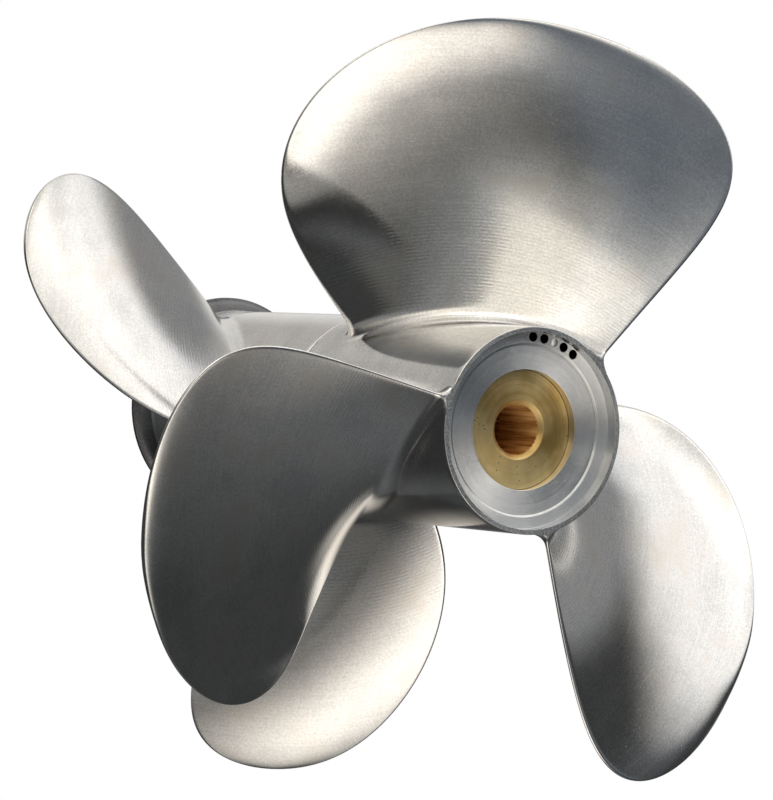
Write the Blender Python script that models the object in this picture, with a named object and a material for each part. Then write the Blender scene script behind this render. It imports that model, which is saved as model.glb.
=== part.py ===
"""Contra-rotating pair of ship propellers for one stern-drive leg.

Two three-bladed stainless castings run nose to tail on concentric shafts and turn opposite ways.
Each casting holds a splined brass bush. Units are metres and degrees. The shaft axis is Y: the
forward propeller's machined end face lies in the plane Y = 0, and the pair runs aft along +Y.
Angles are measured about Y from +X towards +Z.
"""

import math

import bmesh
import bpy
import numpy as np

# Driving dimensions, common to both propellers
HUB_RADIUS = 0.055
BLADE_COUNT = 3
PITCH = 0.590
HUB_GAP = 0.0015
BUSH_GAP = 0.0003
HUB_CHAMFER = 0.0003
TURNED_SEGMENTS = 72

# Forward propeller: hub length, and blade outline as edge angles at five stations from root to tip
FORWARD_HUB_LENGTH = 0.1575
FORWARD_TIP_RADIUS = 0.2190
FORWARD_TIP_Y = 0.0648
FORWARD_RAKE_LINEAR = 0.0
FORWARD_RAKE_CUBIC = -0.0120
FORWARD_LEADING_DEG = (39.7, 41.1, 43.4, 52.6, 78.1)
FORWARD_TRAILING_DEG = (120.2, 122.5, 116.4, 101.0, 78.1)
FORWARD_ROLL = 0.0043

# Aft propeller: opposite hand, smaller, with a hub that tapers to a flared end ring
AFT_HUB_END_Y = 0.3160
AFT_TIP_RADIUS = 0.1980
AFT_TIP_Y = 0.2382
AFT_RAKE_LINEAR = -0.0195
AFT_RAKE_CUBIC = 0.0270
AFT_LEADING_DEG = (190.0, 181.3, 169.5, 158.6, 146.5)
AFT_TRAILING_DEG = (117.0, 127.5, 130.1, 135.4, 146.5)
AFT_WAIST_RADIUS = 0.0520
AFT_WAIST_Y = 0.3020
FLARE_RADIUS = 0.0590
FLARE_LIP = 0.0020
FLARE_STEPS = 6

# Blade sections
ROOT_THICKNESS = 0.0130
TIP_THICKNESS = 0.0032
EDGE_THICKNESS = 0.0024
EDGE_ROUNDING = 40
CAMBER_SHARE = 0.018
FILLET_RADIUS = 0.0080
ROOT_SINK = 0.0015
SPAN_ROWS = 18
FILLET_ROWS = 4
CHORD_STEPS = 12
TIP_CUT = 0.985
THICKNESS_FALL = 0.7
SECTION_FULLNESS = 0.8

# Trailing edge: blunt up to a share of the blade's height, and its rim rolled forward above that
BLUNT_EDGE_THICKNESS = 0.0085
BLUNT_SHARE = 0.42
ROLL_WIDTH = 0.034
ROLL_HEIGHTS = (0.35, 0.75)
ROLL_FADE = 0.060
RIM_STEPS = 1200

# Machined end of a hub, as depths from its face
RIM_INNER_RADIUS = 0.0523
LEDGE_DEPTH = 0.0075
LEDGE_INNER_RADIUS = 0.0460
ANNULUS_DEPTH = 0.0085
LEDGE_STEP = 0.0010
BUSH_FACE_DEPTH = 0.0140

# Bushes
BUSH_RADIUS = 0.0317
CASTING_BORE_RADIUS = BUSH_RADIUS + 0.0003
FORWARD_SPLINE_RADII = (0.0134, 0.0139)
AFT_SPLINE_RADII = (0.0102, 0.0107)
SPLINE_TEETH = 36
SPLINE_LENGTH = 0.0390
BORE_CHAMFER = 0.0025
COUNTERBORE_EXTRA = 0.0012
SPLINE_LAND = 0.0002

# Shares of a tooth's pitch where a spline's foot ends, and where its crest starts and ends
SPLINE_FLANKS = (0.25, 0.40, 0.85)

# Balance holes drilled in the forward ledge
BALANCE_HOLE_RADIUS = 0.0026
BALANCE_HOLE_DEPTH = 0.0080
BALANCE_CIRCLE_RADIUS = 0.0494
BALANCE_ANGLES_DEG = (84.0, 75.8, 60.6, 52.4)
BALANCE_SEGMENTS = 16

# Mesh finish: points closer than this are one, and edges sharper than this stay sharp
WELD_DISTANCE = 0.000001
SHARP_ANGLE_DEG = 30.0

# Colours, roughness and metallic values
CAST_STEEL = ((0.62, 0.61, 0.59, 1.0), 0.28, 1.0)
BRASS = ((0.76, 0.58, 0.27, 1.0), 0.35, 1.0)


def clear_scene():
    """Remove every object that a new file starts with."""
    for item in list(bpy.data.objects):
        bpy.data.objects.remove(item, do_unlink=True)


def make_material(name, look):
    """Return a Principled material with a colour, roughness and metallic value."""
    colour, roughness, metallic = look
    material = bpy.data.materials.new(name)
    material.use_nodes = True
    shader = material.node_tree.nodes["Principled BSDF"]
    shader.inputs["Base Color"].default_value = colour
    shader.inputs["Roughness"].default_value = roughness
    shader.inputs["Metallic"].default_value = metallic
    material.diffuse_color = colour
    return material


def link_mesh(name, bm, material):
    """Turn a bmesh into a smooth-shaded object with its faces pointing out."""
    bmesh.ops.remove_doubles(bm, verts=bm.verts, dist=WELD_DISTANCE)
    bmesh.ops.recalc_face_normals(bm, faces=bm.faces)
    mesh = bpy.data.meshes.new(name)
    bm.to_mesh(mesh)
    bm.free()
    mesh.materials.append(material)
    mesh.shade_smooth()
    mesh.set_sharp_from_angle(angle=math.radians(SHARP_ANGLE_DEG))
    item = bpy.data.objects.new(name, mesh)
    bpy.context.scene.collection.objects.link(item)
    return item


def polar(radius, angle, y):
    """Point at a radius and an angle about the shaft axis."""
    return (radius * math.cos(angle), y, radius * math.sin(angle))


def turned(name, profile, material):
    """Spin a closed (radius, y) profile once round the shaft axis."""
    bm = bmesh.new()
    verts = [bm.verts.new((radius, y, 0.0)) for radius, y in profile]
    edges = [bm.edges.new((a, b)) for a, b in zip(verts, verts[1:] + verts[:1])]
    bmesh.ops.spin(
        bm,
        geom=verts + edges,
        cent=(0.0, 0.0, 0.0),
        axis=(0.0, 1.0, 0.0),
        angle=math.tau,
        steps=TURNED_SEGMENTS,
        use_merge=True,
    )
    return link_mesh(name, bm, material)


def machined_end(face_y, inward):
    """Profile of a hub's turned end, from its outer edge in to the casting's bore."""

    def at(radius, depth):
        return (radius, face_y + inward * depth)

    return [
        at(RIM_INNER_RADIUS, 0.0),
        at(RIM_INNER_RADIUS, LEDGE_DEPTH),
        at(LEDGE_INNER_RADIUS, LEDGE_DEPTH),
        at(LEDGE_INNER_RADIUS - LEDGE_STEP, ANNULUS_DEPTH),
        at(CASTING_BORE_RADIUS, ANNULUS_DEPTH),
    ]


def forward_hub_profile():
    """Closed profile of the forward hub: machined end, bore, plain aft end, cylinder."""
    aft = FORWARD_HUB_LENGTH
    chamfered_aft = [(HUB_RADIUS - HUB_CHAMFER, aft), (HUB_RADIUS, aft - HUB_CHAMFER)]
    chamfered_front = [(HUB_RADIUS, HUB_CHAMFER), (HUB_RADIUS - HUB_CHAMFER, 0.0)]
    bore_end = [(CASTING_BORE_RADIUS, aft)]
    return machined_end(0.0, 1.0) + bore_end + chamfered_aft + chamfered_front


def flare_points():
    """Concave arc that opens the aft hub out to its end ring."""
    rise = FLARE_RADIUS - AFT_WAIST_RADIUS
    run = AFT_HUB_END_Y - FLARE_LIP - AFT_WAIST_Y
    points = []
    for step in range(FLARE_STEPS + 1):
        turn = math.pi / 2 * step / FLARE_STEPS
        y = AFT_WAIST_Y + run * math.sin(turn)
        points.append((AFT_WAIST_RADIUS + rise * (1.0 - math.cos(turn)), y))
    return points


def aft_hub_profile():
    """Closed profile of the aft hub: plain front end, bore, machined aft end, flare, taper."""
    front = FORWARD_HUB_LENGTH + HUB_GAP
    recess = machined_end(AFT_HUB_END_Y, -1.0)
    front_end = [(HUB_RADIUS, front + HUB_CHAMFER), (HUB_RADIUS - HUB_CHAMFER, front)]
    bore_start = [(CASTING_BORE_RADIUS, front)]
    lip = [(FLARE_RADIUS, AFT_HUB_END_Y)]
    return recess + bore_start + list(reversed(front_end)) + flare_points() + lip


def edge_law(stations):
    """Quartic through five edge angles at equal steps from root (0) to tip (1), in radians."""
    steps = np.linspace(0.0, 1.0, len(stations))
    return np.polynomial.Polynomial.fit(steps, np.radians(stations), len(stations) - 1)


def smooth_step(value, low, high):
    """Rise smoothly from 0 to 1 as a value passes from low to high."""
    share = np.clip((value - low) / (high - low), 0.0, 1.0)
    return share * share * (3.0 - 2.0 * share)


class BladeLaw:
    """Shape of one blade: where its sections lie and how thick they are."""

    def __init__(self, tip_radius, tip_y, rake, leading, trailing, hand, roll, first_y, hub_taper):
        self.tip_radius = tip_radius
        self.first_y = first_y
        self.tip_y = tip_y
        self.rake = rake
        self.hub_taper = hub_taper
        self.leading = edge_law(leading)
        self.trailing = edge_law(trailing)
        self.hand = hand
        self.roll = roll
        spans = np.linspace(0.0, 1.0, RIM_STEPS)
        self.rim_radius = HUB_RADIUS + (tip_radius - HUB_RADIUS) * np.sin(spans * math.pi / 2)
        self.rim_angle = self.trailing(spans)

    def radius(self, span):
        """Radius at a span share, bunching the rows towards the round tip."""
        return HUB_RADIUS + (self.tip_radius - HUB_RADIUS) * math.sin(span * math.pi / 2)

    def rake_at(self, share):
        """Axial shift of a section at a share of the blade's height."""
        linear, cubic = self.rake
        return linear * share + cubic * share**3

    def thickness(self, share, chord):
        """Thickness at chord shares: full in the middle, thin and rounded at both edges."""
        middle = ROOT_THICKNESS + (TIP_THICKNESS - ROOT_THICKNESS) * share**THICKNESS_FALL
        bluntness = max(0.0, 1.0 - share / BLUNT_SHARE) ** 2
        thicker = (BLUNT_EDGE_THICKNESS - EDGE_THICKNESS) * bluntness
        edge = np.minimum(EDGE_THICKNESS + thicker * smooth_step(chord, 0.5, 1.0), middle)
        tightness = EDGE_ROUNDING * EDGE_THICKNESS / edge
        rounding = np.sqrt(1.0 - np.abs(2.0 * chord - 1.0) ** tightness)
        fullness = (4.0 * chord * (1.0 - chord)) ** SECTION_FULLNESS
        return edge * rounding + (middle - edge) * fullness

    def rolled(self, radius, share, angle):
        """How far the trailing rim is rolled forward at the angles of one section."""
        stretch = math.hypot(radius, PITCH / math.tau)
        across = stretch * (angle[:, None] - self.rim_angle)
        from_rim = np.hypot(radius - self.rim_radius, across).min(axis=1)
        into_roll = np.clip(1.0 - from_rim / ROLL_WIDTH, 0.0, 1.0)
        past_tip = stretch * (angle - self.rim_angle[-1])
        held = smooth_step(share, *ROLL_HEIGHTS) * smooth_step(past_tip, 0.0, ROLL_FADE)
        return self.roll * held * into_roll**2

    def section(self, radius, span, flare):
        """Closed loop of points round the blade at one radius, grown by a root flare."""
        share = max(0.0, (radius - HUB_RADIUS) / (self.tip_radius - HUB_RADIUS))
        start = self.leading(span)
        sweep = self.trailing(span) - start
        lead = self.hand * PITCH / math.tau
        slope = math.atan2(lead, radius)
        length = abs(sweep) * math.hypot(radius, lead)
        chord = 0.5 - 0.5 * np.cos(np.linspace(0.0, math.pi, CHORD_STEPS + 1))
        half = self.thickness(share, chord) / 2
        bow = -4.0 * CAMBER_SHARE * length * chord * (1.0 - chord)
        bow -= self.rolled(radius, share, start + sweep * chord)
        outline = grown_outline(length * chord, bow - half, bow + half, flare)
        on_chord = start + sweep * outline[:, 0] / length
        rise = self.tip_y + lead * (on_chord - self.leading(1.0)) + self.rake_at(share)
        y = np.maximum(rise + outline[:, 1] * math.cos(slope), self.first_y)
        angle = on_chord - outline[:, 1] * math.sin(slope) / radius
        return [
            polar(radius + self.hub_taper(place) * (1.0 - share), turn, place)
            for turn, place in zip(angle, y)
        ]


def grown_outline(along, back, face, growth):
    """Flat outline round a section, leading edge first, moved outwards by a growth."""
    lower = np.column_stack((along, back))
    upper = np.column_stack((along, face))[-2:0:-1]
    outline = np.concatenate((lower, upper))
    tangent = np.roll(outline, -1, axis=0) - np.roll(outline, 1, axis=0)
    tangent /= np.linalg.norm(tangent, axis=1)[:, None]
    return outline + growth * np.column_stack((tangent[:, 1], -tangent[:, 0]))


def no_taper(y):
    """Radius change along the forward hub, a plain cylinder."""
    return 0.0


def aft_taper(y):
    """Radius change along the aft hub, which narrows from its front end to its waist."""
    front = FORWARD_HUB_LENGTH + HUB_GAP + HUB_CHAMFER
    share = min(1.0, max(0.0, (y - front) / (AFT_WAIST_Y - front)))
    return (AFT_WAIST_RADIUS - HUB_RADIUS) * share


def blade_rows(law):
    """Radius, span share and root flare of every section, from inside the hub to the tip."""
    rows = [(HUB_RADIUS - ROOT_SINK, 0.0, FILLET_RADIUS)]
    height = law.tip_radius - HUB_RADIUS
    for row in range(FILLET_ROWS):
        turn = math.pi / 2 * row / FILLET_ROWS
        rise = FILLET_RADIUS * (1.0 - math.cos(turn))
        span = math.asin(rise / height) * 2 / math.pi
        rows.append((HUB_RADIUS + rise, span, FILLET_RADIUS * (1.0 - math.sin(turn))))
    first = math.asin(FILLET_RADIUS / height) * 2 / math.pi
    for span in np.linspace(first, TIP_CUT, SPAN_ROWS):
        rows.append((law.radius(span), span, 0.0))
    return rows


def cap(bm, loop):
    """Close a blade's end with faces that run across the section."""
    for step in range(CHORD_STEPS):
        corners = (loop[step], loop[step + 1], loop[-step - 1], loop[-step])
        bm.faces.new(dict.fromkeys(corners))


def blade(name, law, turn, material):
    """Loft one closed blade through its sections and turn it to its place on the hub."""
    bm = bmesh.new()
    loops = []
    for radius, span, flare in blade_rows(law):
        loops.append([bm.verts.new(point) for point in law.section(radius, span, flare)])
    for lower, upper in zip(loops, loops[1:]):
        for step in range(len(lower)):
            after = (step + 1) % len(lower)
            bm.faces.new((lower[step], lower[after], upper[after], upper[step]))
    cap(bm, loops[0])
    cap(bm, loops[-1])
    bmesh.ops.triangulate(bm, faces=bm.faces, quad_method="SHORT_EDGE")
    item = link_mesh(name, bm, material)
    item.rotation_euler = (0.0, -turn, 0.0)
    return item


def add_boolean(target, cutter, operation):
    """Join or cut with a helper object that is not itself a part."""
    cutter.hide_render = True
    cutter.display_type = "WIRE"
    modifier = target.modifiers.new(cutter.name, "BOOLEAN")
    modifier.operation = operation
    modifier.solver = "EXACT"
    modifier.object = cutter


def add_blades(hub, law, material):
    """Cast three equally spaced blades onto a hub."""
    for index in range(BLADE_COUNT):
        name = f"{hub.name}_blade_guide_{index + 1}"
        guide = blade(name, law, math.tau * index / BLADE_COUNT, material)
        add_boolean(hub, guide, "UNION")


def drill_balance_holes(hub, material):
    """Drill the row of balance holes into the forward ledge."""
    bm = bmesh.new()
    for degrees in BALANCE_ANGLES_DEG:
        angle = math.radians(degrees)
        floor = LEDGE_DEPTH + BALANCE_HOLE_DEPTH
        mouth = LEDGE_DEPTH - BALANCE_HOLE_RADIUS
        centre = polar(BALANCE_CIRCLE_RADIUS, angle, 0.0)
        ring = []
        for step in range(BALANCE_SEGMENTS):
            turn = math.tau * step / BALANCE_SEGMENTS
            x = centre[0] + BALANCE_HOLE_RADIUS * math.cos(turn)
            z = centre[2] + BALANCE_HOLE_RADIUS * math.sin(turn)
            ring.append(bm.verts.new((x, mouth, z)))
        disc = bm.faces.new(ring)
        grown = bmesh.ops.extrude_face_region(bm, geom=[disc])
        moved = [v for v in grown["geom"] if isinstance(v, bmesh.types.BMVert)]
        bmesh.ops.translate(bm, verts=moved, vec=(0.0, floor - mouth, 0.0))
    cutter = link_mesh("balance_hole_cutter", bm, material)
    add_boolean(hub, cutter, "DIFFERENCE")


def bush_profile(mouth_y, inner_y, minor_radius, major_radius):
    """Closed profile of a bush: chamfered mouth, land for the splines, wider plain bore."""
    inward = math.copysign(1.0, inner_y - mouth_y)
    land_end = mouth_y + inward * SPLINE_LENGTH
    plain = major_radius + COUNTERBORE_EXTRA
    return [
        (BUSH_RADIUS, mouth_y),
        (minor_radius + BORE_CHAMFER, mouth_y),
        (minor_radius, mouth_y + inward * BORE_CHAMFER),
        (minor_radius, land_end),
        (plain, land_end),
        (plain, inner_y),
        (BUSH_RADIUS, inner_y),
    ]


def spline_cutter(name, mouth_y, inner_y, radii, material):
    """Toothed bar that cuts the splines into a bush's land."""
    minor_radius, major_radius = radii
    foot_end, crest_start, crest_end = SPLINE_FLANKS
    inward = math.copysign(1.0, inner_y - mouth_y)
    start = mouth_y - inward * BORE_CHAMFER
    end = mouth_y + inward * (SPLINE_LENGTH + BORE_CHAMFER)
    bm = bmesh.new()
    ring = []
    for tooth in range(SPLINE_TEETH):
        for share, radius in (
            (0.0, minor_radius - SPLINE_LAND),
            (foot_end, minor_radius - SPLINE_LAND),
            (crest_start, major_radius),
            (crest_end, major_radius),
        ):
            angle = math.tau * (tooth + share) / SPLINE_TEETH
            ring.append(bm.verts.new(polar(radius, angle, start)))
    disc = bm.faces.new(ring)
    grown = bmesh.ops.extrude_face_region(bm, geom=[disc])
    moved = [v for v in grown["geom"] if isinstance(v, bmesh.types.BMVert)]
    bmesh.ops.translate(bm, verts=moved, vec=(0.0, end - start, 0.0))
    return link_mesh(name, bm, material)


def splined_bush(name, mouth_y, inner_y, radii, material):
    """Brass bush with splines behind its mouth."""
    item = turned(name, bush_profile(mouth_y, inner_y, *radii), material)
    cutter = spline_cutter(name + "_spline_cutter", mouth_y, inner_y, radii, material)
    add_boolean(item, cutter, "DIFFERENCE")
    return item


def forward_propeller(parent):
    """Left-hand casting and bush at the forward end of the pair."""
    steel = make_material("forward_steel", CAST_STEEL)
    brass = make_material("forward_brass", BRASS)
    hub = turned("forward_casting", forward_hub_profile(), steel)
    rake = (FORWARD_RAKE_LINEAR, FORWARD_RAKE_CUBIC)
    law = BladeLaw(
        FORWARD_TIP_RADIUS,
        FORWARD_TIP_Y,
        rake,
        FORWARD_LEADING_DEG,
        FORWARD_TRAILING_DEG,
        1.0,
        FORWARD_ROLL,
        0.0,
        no_taper,
    )
    add_blades(hub, law, steel)
    drill_balance_holes(hub, steel)
    inner = FORWARD_HUB_LENGTH + (HUB_GAP - BUSH_GAP) / 2
    bush = splined_bush("forward_bush", BUSH_FACE_DEPTH, inner, FORWARD_SPLINE_RADII, brass)
    for item in (hub, bush):
        item.parent = parent


def aft_propeller(parent):
    """Right-hand casting and bush at the aft end, turning about the shaft axis."""
    steel = make_material("aft_steel", CAST_STEEL)
    brass = make_material("aft_brass", BRASS)
    hub = turned("aft_casting", aft_hub_profile(), steel)
    rake = (AFT_RAKE_LINEAR, AFT_RAKE_CUBIC)
    law = BladeLaw(
        AFT_TIP_RADIUS,
        AFT_TIP_Y,
        rake,
        AFT_LEADING_DEG,
        AFT_TRAILING_DEG,
        -1.0,
        0.0,
        FORWARD_HUB_LENGTH + HUB_GAP + HUB_CHAMFER,
        aft_taper,
    )
    add_blades(hub, law, steel)
    inner = FORWARD_HUB_LENGTH + (HUB_GAP + BUSH_GAP) / 2
    mouth = AFT_HUB_END_Y - BUSH_FACE_DEPTH
    bush = splined_bush("aft_bush", mouth, inner, AFT_SPLINE_RADII, brass)
    for item in (hub, bush):
        item.parent = parent


def make_axis(name):
    """Empty on the shaft axis that carries one propeller."""
    axis = bpy.data.objects.new(name, None)
    bpy.context.scene.collection.objects.link(axis)
    return axis


def build():
    """Build both propellers."""
    clear_scene()
    forward_propeller(make_axis("forward_axis"))
    aft_propeller(make_axis("aft_axis"))


build()
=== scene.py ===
# %% [markdown]
# # A contra-rotating pair of ship propellers
# Two three-bladed stainless propellers sit nose to tail on one shaft line and turn opposite ways.
# The imported CAD model is the frame: it fixes every size, and this lesson only dresses it. Lengths
# are in metres. The shaft axis is Y, the forward propeller's machined end face lies at Y = 0, and
# angles are measured about Y from +X towards +Z.

# %% Load the frame
import math

import bmesh
import bpy
import numpy as np
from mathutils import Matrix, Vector


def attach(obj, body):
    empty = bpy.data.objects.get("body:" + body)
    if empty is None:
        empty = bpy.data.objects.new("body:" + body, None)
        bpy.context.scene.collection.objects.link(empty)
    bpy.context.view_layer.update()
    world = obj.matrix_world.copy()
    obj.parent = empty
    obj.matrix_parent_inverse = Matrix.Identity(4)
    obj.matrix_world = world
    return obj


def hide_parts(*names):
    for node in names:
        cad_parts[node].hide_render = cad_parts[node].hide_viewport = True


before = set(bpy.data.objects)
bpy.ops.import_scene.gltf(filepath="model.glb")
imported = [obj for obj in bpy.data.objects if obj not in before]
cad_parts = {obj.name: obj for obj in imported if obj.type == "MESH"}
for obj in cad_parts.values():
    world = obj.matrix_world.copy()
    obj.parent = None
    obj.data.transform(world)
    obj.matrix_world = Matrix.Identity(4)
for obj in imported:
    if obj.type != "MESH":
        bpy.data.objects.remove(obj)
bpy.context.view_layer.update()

# %% [markdown]
# ## Camera
# The photograph was taken with a long lens, from a few degrees above the shaft and about thirty
# degrees round from the end face. A long lens could be faked by moving the camera near and
# cropping, but that would bend the blades, so the camera stands five metres away instead.

# %% Camera
CAMERA_AZIMUTH = math.radians(-32.03)
CAMERA_ELEVATION = math.radians(3.00)
CAMERA_DISTANCE = 5.037
SHAFT_RIGHT_OF_CENTRE = 0.0770
SHAFT_ABOVE_CENTRE = -0.0162
LENS_MM = 430.3
CAMERA_REACH = 100.0

towards_camera = Vector((
    math.sin(CAMERA_AZIMUTH) * math.cos(CAMERA_ELEVATION),
    -math.cos(CAMERA_AZIMUTH) * math.cos(CAMERA_ELEVATION),
    math.sin(CAMERA_ELEVATION),
))
camera_right = Vector((math.cos(CAMERA_AZIMUTH), math.sin(CAMERA_AZIMUTH), 0.0))
camera_up = towards_camera.cross(camera_right)
camera_place = (
    towards_camera * CAMERA_DISTANCE
    - camera_right * SHAFT_RIGHT_OF_CENTRE
    - camera_up * SHAFT_ABOVE_CENTRE
)
bpy.ops.object.camera_add(
    location=camera_place,
    rotation=(math.pi / 2 - CAMERA_ELEVATION, 0.0, CAMERA_AZIMUTH),
)
camera = bpy.context.object
camera.data.lens = LENS_MM
camera.data.clip_end = CAMERA_REACH
bpy.context.scene.camera = camera
print("camera at", tuple(round(v, 3) for v in camera_place))

# %% [markdown]
# ## Shape of a blade
# A propeller blade is a slice of a screw surface: each section lies on a cylinder round the shaft,
# climbs by the pitch, and carries a thin profile with a slight hollow on its driving side. The
# outline is given by the angles of its two edges at five stations from root to tip, the same
# numbers that shaped the CAD solid, so the dressed blade and the solid agree.

# %% Sizes shared by both propellers
HUB_RADIUS = 0.055
PITCH = 0.590
BLADE_COUNT = 3
ROOT_THICKNESS = 0.0130
TIP_THICKNESS = 0.0020
THICKNESS_FALL = 0.7
SECTION_FULLNESS = 1.0
EDGE_THICKNESS = 0.0019
EDGE_ROUNDING = 150
ROUNDING_FALL = 1.5
BLUNT_EDGE_THICKNESS = 0.0065
BLUNT_SHARE = 0.42
CAMBER_SHARE = 0.018
ROLL_WIDTH = 0.034
ROLL_HEIGHTS = (0.35, 0.75)
ROLL_FADE = (-0.015, 0.040)
RIM_STEPS = 1200
FILLET_RADIUS = 0.0080
ROOT_SINK = 0.0015


def edge_curve(stations_deg):
    """Quartic through five edge angles at equal steps from root (0) to tip (1), in radians."""
    steps = np.linspace(0.0, 1.0, len(stations_deg))
    return np.polynomial.Polynomial.fit(steps, np.radians(stations_deg), len(stations_deg) - 1)


def smooth_step(value, low, high):
    """Rise smoothly from 0 to 1 as a value passes from low to high."""
    share = np.clip((value - low) / (high - low), 0.0, 1.0)
    return share * share * (3.0 - 2.0 * share)


# %% Blade plan: where the sections of one propeller's blades lie
class BladePlan:
    """Outline, pitch, rake, rolled edge and hub line of one propeller's blades."""

    def __init__(self, tip_radius, tip_y, rake, edges_deg, hand, roll, first_y, taper):
        leading_deg, trailing_deg = edges_deg
        self.tip_radius = tip_radius
        self.tip_y = tip_y
        self.rake = rake
        self.leading = edge_curve(leading_deg)
        self.trailing = edge_curve(trailing_deg)
        self.hand = hand
        self.roll = roll
        self.first_y = first_y
        self.taper = taper
        up = np.linspace(0.0, 1.0, RIM_STEPS)
        down = up[:RIM_STEPS // 2:-1]
        spans = np.concatenate((up, down))
        self.rim_radius = HUB_RADIUS + (tip_radius - HUB_RADIUS) * np.sin(spans * math.pi / 2)
        self.rim_angle = np.concatenate((self.trailing(up), self.leading(down)))

    def rows(self, fillet_rows, span_rows, last_span):
        """Radius, span share and fillet growth of each section, from inside the hub to the tip."""
        height = self.tip_radius - HUB_RADIUS
        rows = [(HUB_RADIUS - ROOT_SINK, 0.0, FILLET_RADIUS)]
        for turn in np.linspace(0.0, math.pi / 2, fillet_rows, endpoint=False):
            rise = FILLET_RADIUS * (1.0 - math.cos(turn))
            span = math.asin(rise / height) * 2 / math.pi
            rows.append((HUB_RADIUS + rise, span, FILLET_RADIUS * (1.0 - math.sin(turn))))
        first = math.asin(FILLET_RADIUS / height) * 2 / math.pi
        for span in np.linspace(first, last_span, span_rows):
            rows.append((HUB_RADIUS + height * math.sin(span * math.pi / 2), span, 0.0))
        return rows

    def half_thickness(self, share, chord):
        """Half thickness at chord shares: full in the middle, with two rounded edges."""
        middle = ROOT_THICKNESS + (TIP_THICKNESS - ROOT_THICKNESS) * share**THICKNESS_FALL
        bluntness = max(0.0, 1.0 - share / BLUNT_SHARE) ** 2
        blunt = EDGE_THICKNESS + (BLUNT_EDGE_THICKNESS - EDGE_THICKNESS) * bluntness
        towards_trailing = smooth_step(chord, 0.5, 1.0)
        edge = np.minimum(EDGE_THICKNESS + (blunt - EDGE_THICKNESS) * towards_trailing, middle)
        tightness = EDGE_ROUNDING * (EDGE_THICKNESS / edge) ** ROUNDING_FALL
        rounding = np.sqrt(1.0 - np.abs(2.0 * chord - 1.0) ** tightness)
        fullness = (4.0 * chord * (1.0 - chord)) ** SECTION_FULLNESS
        return (edge * rounding + (middle - edge) * fullness) / 2

    def rolled(self, radius, share, angle):
        """How far the trailing rim is rolled forward at the angles of one section."""
        stretch = math.hypot(radius, PITCH / math.tau)
        across = stretch * (angle[:, None] - self.rim_angle)
        from_rim = np.hypot(radius - self.rim_radius, across).min(axis=1)
        into_roll = np.clip(1.0 - from_rim / ROLL_WIDTH, 0.0, 1.0)
        past_tip = stretch * (angle - self.trailing(1.0))
        held = smooth_step(share, *ROLL_HEIGHTS) * smooth_step(past_tip, *ROLL_FADE)
        return self.roll * held * into_roll**2

    def section(self, radius, span, growth, chord_steps):
        """Points of one closed section, back first and then face."""
        share = max(0.0, (radius - HUB_RADIUS) / (self.tip_radius - HUB_RADIUS))
        start = self.leading(span)
        sweep = self.trailing(span) - start
        lead = self.hand * PITCH / math.tau
        slope = math.atan2(lead, radius)
        length = abs(sweep) * math.hypot(radius, lead)
        chord = 0.5 - 0.5 * np.cos(np.linspace(0.0, math.pi, chord_steps + 1))
        half = self.half_thickness(share, chord)
        bow = -4.0 * CAMBER_SHARE * length * chord * (1.0 - chord)
        bow -= self.rolled(radius, share, start + sweep * chord)
        back = np.column_stack((length * chord, bow - half))
        face = np.column_stack((length * chord, bow + half))[-2:0:-1]
        outline = np.concatenate((back, face))
        tangent = np.roll(outline, -1, axis=0) - np.roll(outline, 1, axis=0)
        tangent /= np.linalg.norm(tangent, axis=1)[:, None]
        outline += growth * np.column_stack((tangent[:, 1], -tangent[:, 0]))
        on_chord = start + sweep * outline[:, 0] / length
        rake_linear, rake_cubic = self.rake
        rake = rake_linear * share + rake_cubic * share**3
        y = self.tip_y + lead * (on_chord - self.leading(1.0)) + rake
        y = np.maximum(y + outline[:, 1] * math.cos(slope), self.first_y)
        angle = on_chord - outline[:, 1] * math.sin(slope) / radius
        reach = radius + self.taper(y) * (1.0 - share)
        return np.column_stack((reach * np.cos(angle), y, reach * np.sin(angle)))


# %% [markdown]
# ## Helpers for modelling by operator
# Blender's mesh operators act on whatever is selected, as they do by hand. These helpers pick one
# object or one set of faces by rule, so each step below reads like a step at the bench.

# %% Selection helpers
SQUARE_ON = 0.9


def take(piece):
    """Leave one piece selected and active."""
    bpy.ops.object.select_all(action="DESELECT")
    piece.select_set(True)
    bpy.context.view_layer.objects.active = piece


def pick_faces(piece, rule):
    """In edit mode, select only the faces whose centre and normal satisfy a rule."""
    bpy.ops.mesh.select_mode(type="FACE")
    bpy.ops.mesh.select_all(action="DESELECT")
    working = bmesh.from_edit_mesh(piece.data)
    for face in working.faces:
        face.select_set(bool(rule(face.calc_center_median(), face.normal)))
    bmesh.update_edit_mesh(piece.data)


def apply_all(piece):
    """Apply every modifier of a piece, in order."""
    take(piece)
    for modifier in list(piece.modifiers):
        bpy.ops.object.modifier_apply(modifier=modifier.name)


def report(piece):
    """Print what a finished piece measures."""
    print(f"{piece.name}: {len(piece.data.polygons)} faces, "
          f"{' x '.join(f'{side * 1000:.1f}' for side in piece.dimensions)} mm")


# %% Turning helper: work a round cap inwards like a lathe tool
def turn_cap(radius, y, cuts):
    """Extrude the selected round face through (radius, y) cuts, in order."""
    for next_radius, next_y in cuts:
        shift = {"value": (0.0, next_y - y, 0.0)}
        bpy.ops.mesh.extrude_region_move(TRANSFORM_OT_translate=shift)
        ratio = next_radius / radius
        if ratio != 1.0:
            bpy.ops.transform.resize(
                value=(ratio, 1.0, ratio), center_override=(0.0, next_y, 0.0)
            )
        radius, y = next_radius, next_y


CORNER_ANGLE = math.radians(25.0)
ROUND_SEGMENTS = 2


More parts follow.
